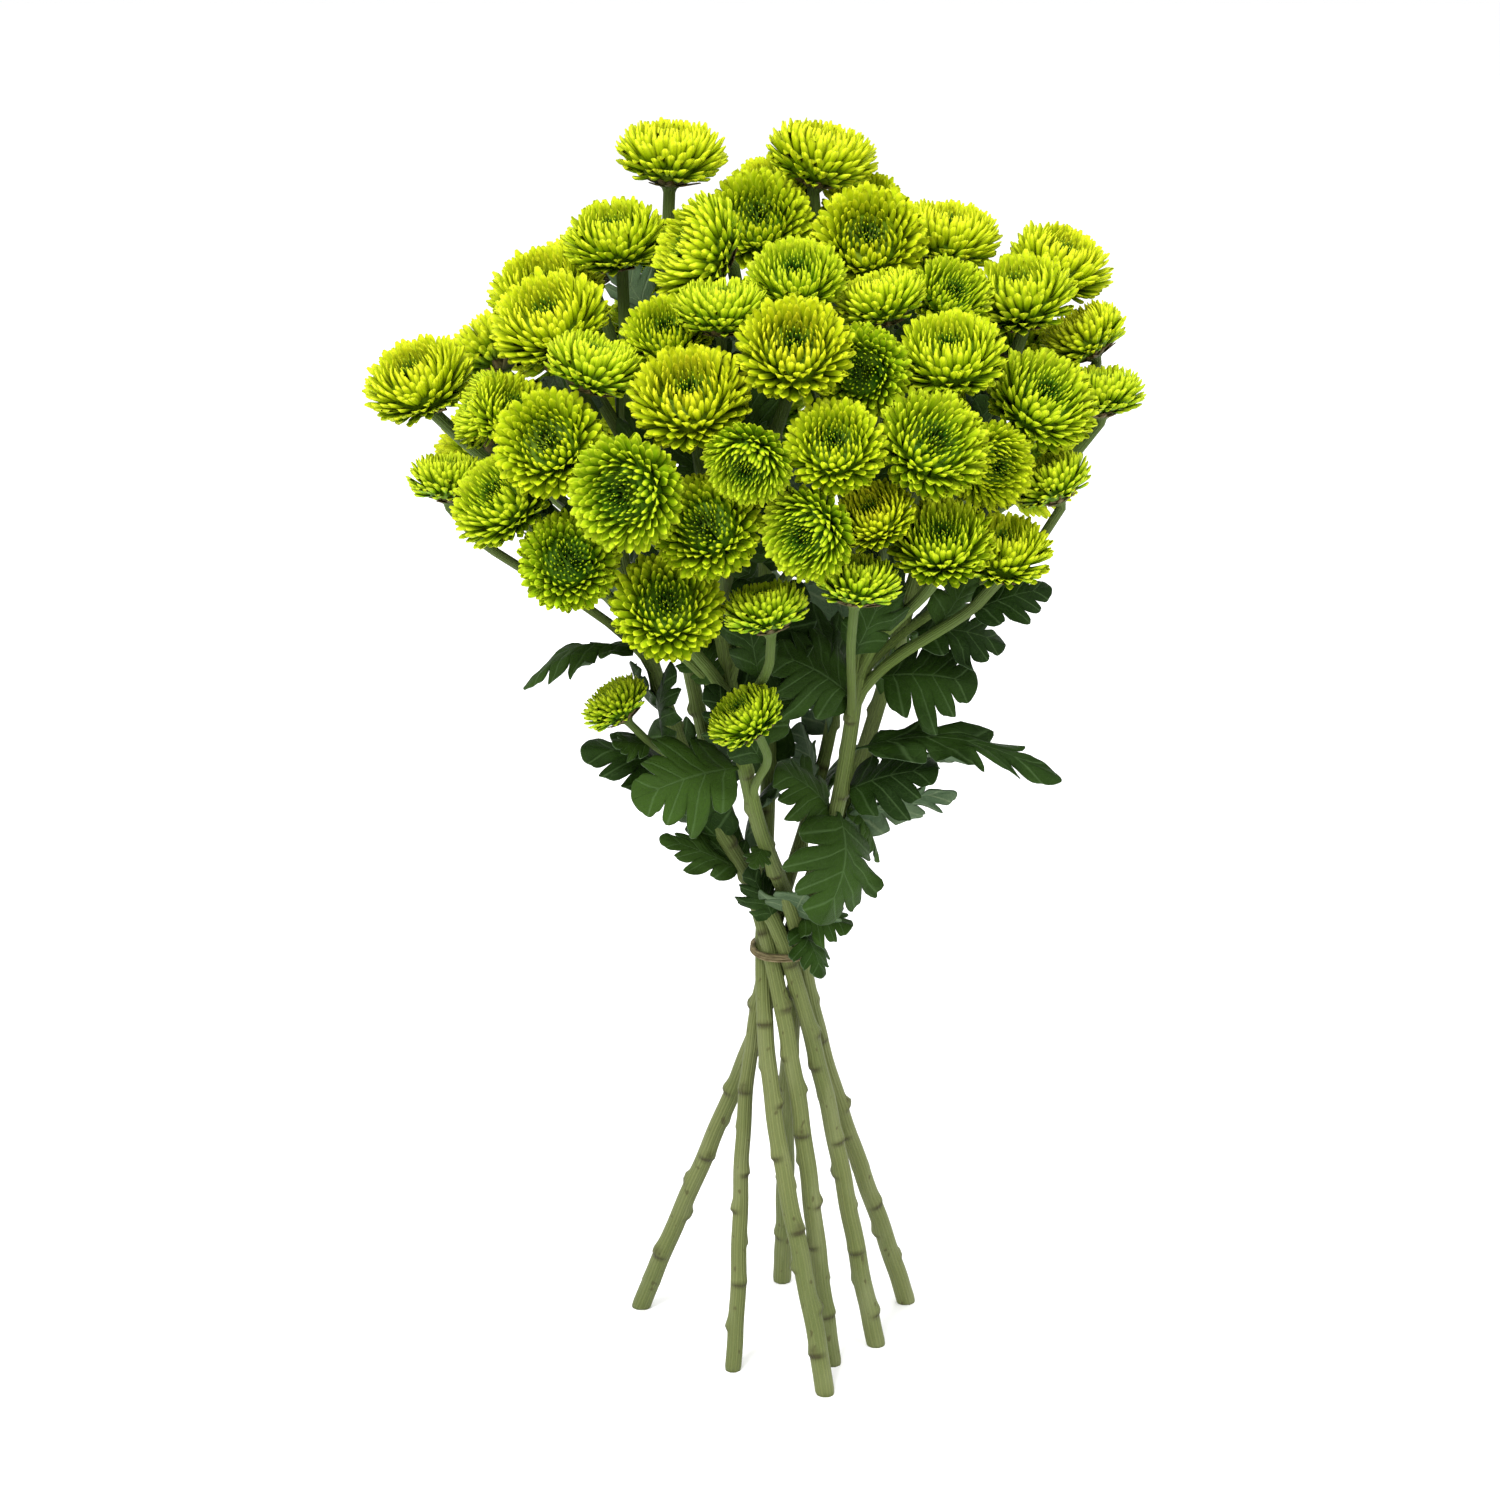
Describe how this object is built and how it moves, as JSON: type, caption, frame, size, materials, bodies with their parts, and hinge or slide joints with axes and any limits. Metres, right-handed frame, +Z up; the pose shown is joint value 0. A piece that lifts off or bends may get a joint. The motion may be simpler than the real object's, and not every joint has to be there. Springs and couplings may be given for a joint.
{
  "type": "pompon chrysanthemum bunch",
  "caption": "Bunch of cut green pompon chrysanthemum sprays, crossed at a thin tie and standing on its splayed cut ends.",
  "frame": {"origin": "on the surface, under the middle of the bunch's box; the cut ends lie at z = 0", "axes": "+Z up, +X to the right and -Y towards the viewer of the picture"},
  "size_m": [0.2982, 0.249, 0.5126],
  "materials": {
    "flower": "matt lime green florets, deeper green in the middle",
    "greenery": "satin green stems, stalks and dark veined leaves",
    "tie": "dry tan raffia"
  },
  "bodies": {
    "root": {"bloom_01": "flower", "bloom_02": "flower", "bloom_03": "flower", "bloom_04": "flower", "bloom_05": "flower", "bloom_06": "flower", "bloom_07": "flower", "bloom_08": "flower", "bloom_09": "flower", "bloom_10": "flower", "bloom_11": "flower", "bloom_12": "flower", "bloom_13": "flower", "bloom_14": "flower", "bloom_15": "flower", "bloom_16": "flower", "bloom_17": "flower", "bloom_18": "flower", "bloom_19": "flower", "bloom_20": "flower", "bloom_21": "flower", "bloom_22": "flower", "bloom_23": "flower", "bloom_24": "flower", "bloom_25": "flower", "bloom_26": "flower", "bloom_27": "flower", "bloom_28": "flower", "bloom_30": "flower", "bloom_31": "flower", "bloom_33": "flower", "bloom_34": "flower", "bloom_35": "flower", "bloom_36": "flower", "bloom_37": "flower", "bloom_38": "flower", "bloom_39": "flower", "bloom_40": "flower", "bloom_41": "flower", "bloom_42": "flower", "bloom_43": "flower", "bloom_44": "flower", "bloom_46": "flower", "bloom_47": "flower", "bloom_48": "flower", "bloom_49": "flower", "bloom_50": "flower", "bloom_51": "flower", "bloom_52": "flower", "stem_a": "greenery", "stem_b": "greenery", "stem_c": "greenery", "stem_d": "greenery", "stem_e": "greenery", "stem_f": "greenery", "stem_g": "greenery", "tie": "tie"}
  },
  "joints": []
}
